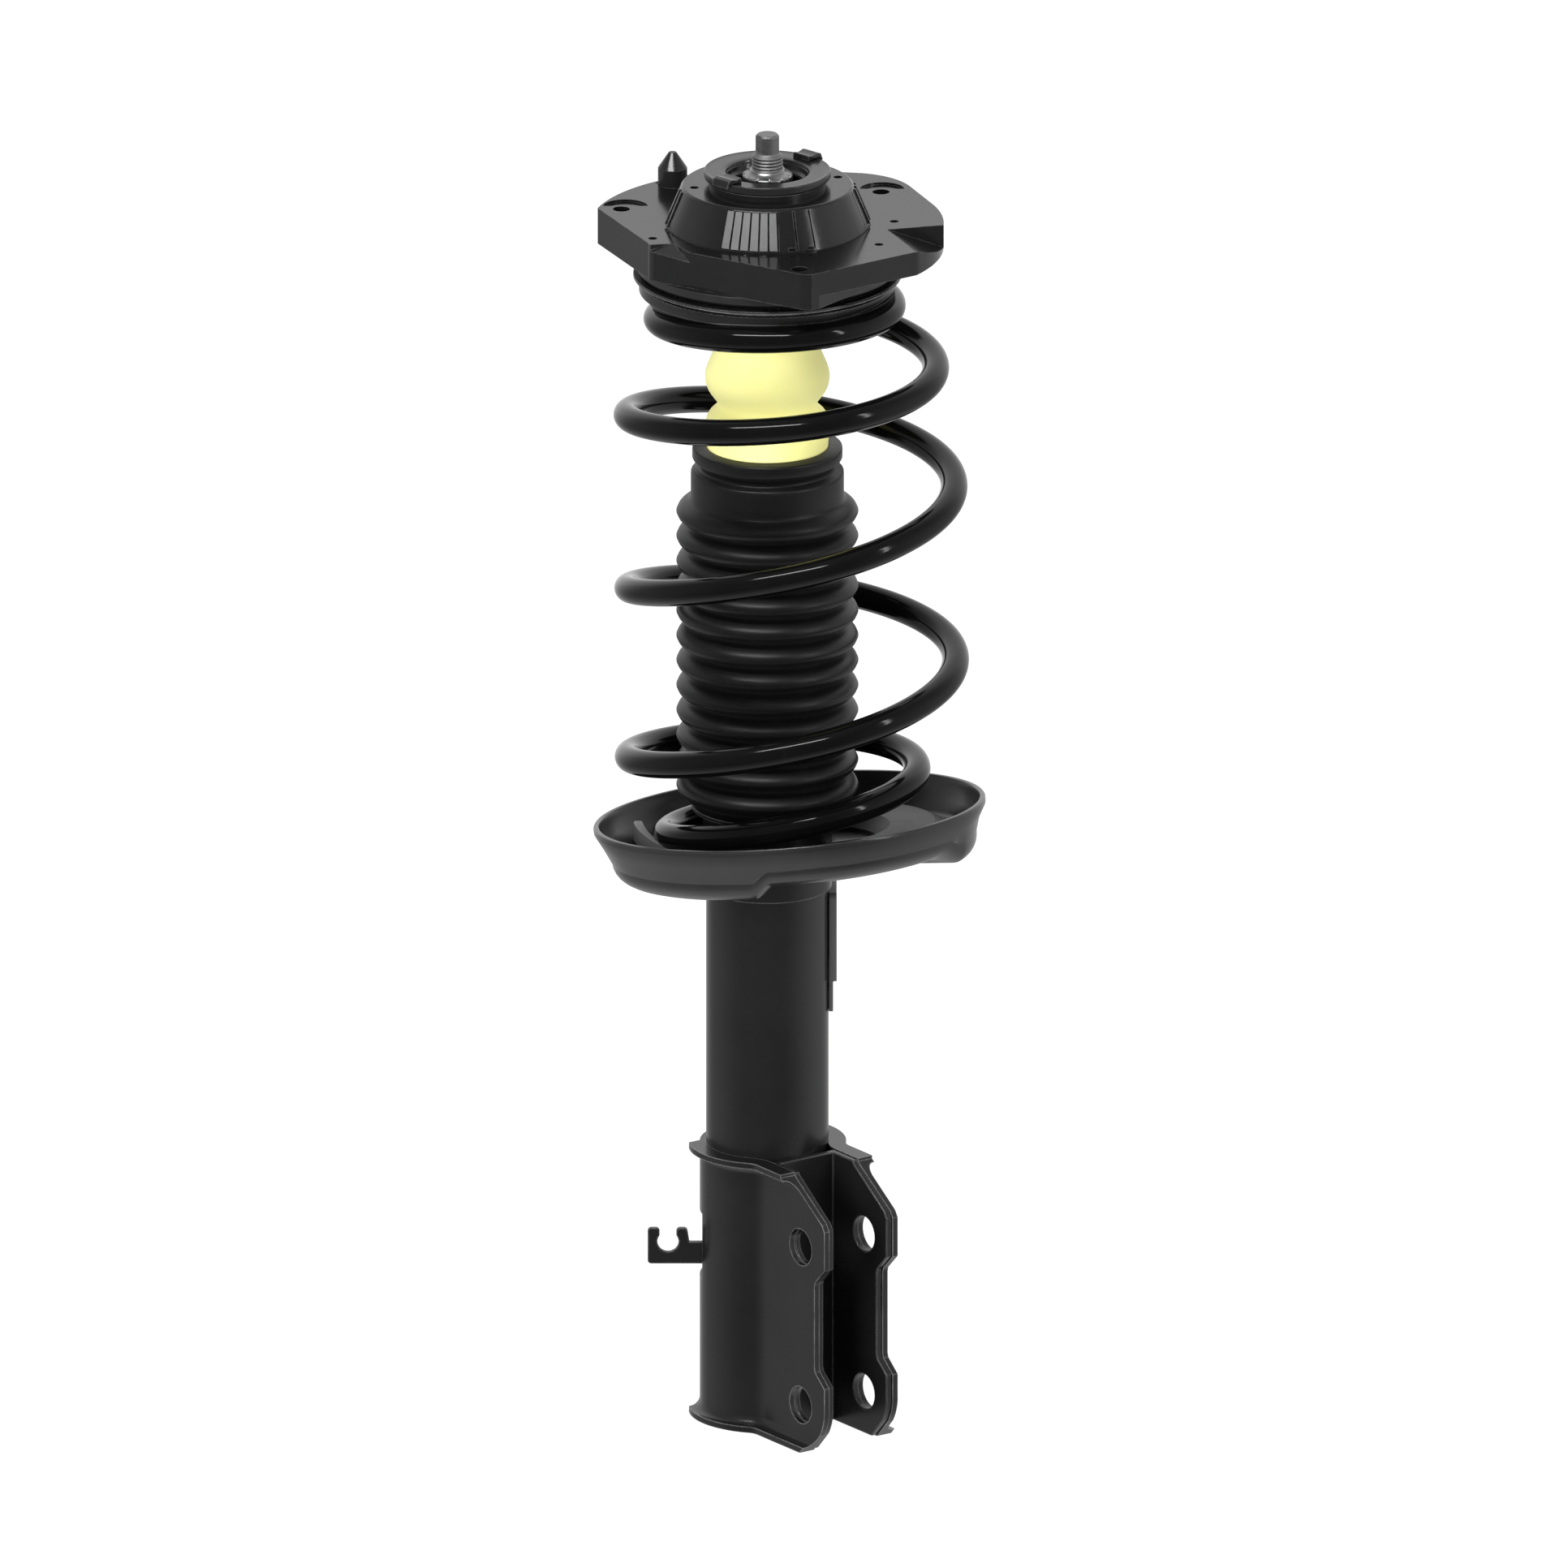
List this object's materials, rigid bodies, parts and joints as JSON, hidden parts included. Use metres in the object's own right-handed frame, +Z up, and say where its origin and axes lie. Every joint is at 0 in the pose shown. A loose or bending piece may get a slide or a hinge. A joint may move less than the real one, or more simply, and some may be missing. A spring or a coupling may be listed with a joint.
{
  "type": "suspension strut",
  "caption": "Front suspension strut with swivelling top mount, coil spring, bellows, telescopic damper and a two-bolt clevis bracket for the wheel knuckle.",
  "frame": {"origin": "on the piston rod's axis, in the upper face of the mount plate, which seats against the tower", "axes": "+Z up along the piston rod, out of the tower face; the knuckle bracket's ears point to -Y; the knuckle bolts lie along X"},
  "size_m": [0.1746, 0.182, 0.5943],
  "materials": {
    "cast_black": "satin paint on a casting",
    "cover_black": "satin paint",
    "painted_black": "satin black paint",
    "spring_black": "glossy black coating",
    "zinc_grey": "grey phosphate",
    "bare_steel": "machined",
    "nut_steel": "turned",
    "rod_chrome": "ground",
    "ring_bronze": "filled polymer",
    "plastic_black": "moulded",
    "rubber_black": "matt",
    "bellows_rubber": "matt",
    "foam_yellow": "foamed polyurethane"
  },
  "bodies": {
    "mount": {"mount_plate": "cast_black", "locator_pin": "zinc_grey", "cone_cover": "cover_black", "outer_sleeve": "painted_black", "bush_rubber": "rubber_black", "inner_core": "bare_steel", "rod_washer": "bare_steel", "top_washer": "bare_steel", "top_nut": "nut_steel", "rebound_disc": "zinc_grey", "rim_clips": "zinc_grey", "upper_race": "plastic_black", "piston_rod": "rod_chrome", "rebound_stop": "bare_steel", "piston": "bare_steel", "piston_ring": "ring_bronze", "rebound_shims": "bare_steel", "compression_shims": "bare_steel", "piston_nut": "bare_steel"},
    "upper_seat": {"lower_race": "plastic_black", "bearing_balls": "rod_chrome", "upper_spring_seat": "painted_black", "upper_isolator": "rubber_black", "bump_stop": "foam_yellow", "coil_spring": "spring_black", "dust_bellows": "bellows_rubber"},
    "strut_tube": {"outer_tube": "painted_black", "tube_cap": "zinc_grey", "rod_seal": "rubber_black", "rod_guide": "bare_steel", "pressure_tube": "bare_steel", "foot_valve": "bare_steel", "base_cap": "painted_black", "lower_spring_dish": "painted_black", "dish_hub": "painted_black", "lower_isolator": "rubber_black", "link_bracket": "painted_black", "hose_bracket": "painted_black", "knuckle_bracket": "painted_black", "bracket_liner": "painted_black"}
  },
  "joints": [
    {"name": "steer_swivel", "type": "hinge", "parent": "mount", "child": "upper_seat", "pos_m": [0, 0, -0.022], "axis": [0, 0, 1], "range_deg": [-45, 45]},
    {"name": "damper_stroke", "type": "slide", "parent": "upper_seat", "child": "strut_tube", "axis": [0, 0, 1], "range_m": [0, 0.1], "stiffness_N_per_m": 25000, "springref_m": -0.06, "deforming": ["coil_spring", "dust_bellows"]}
  ]
}
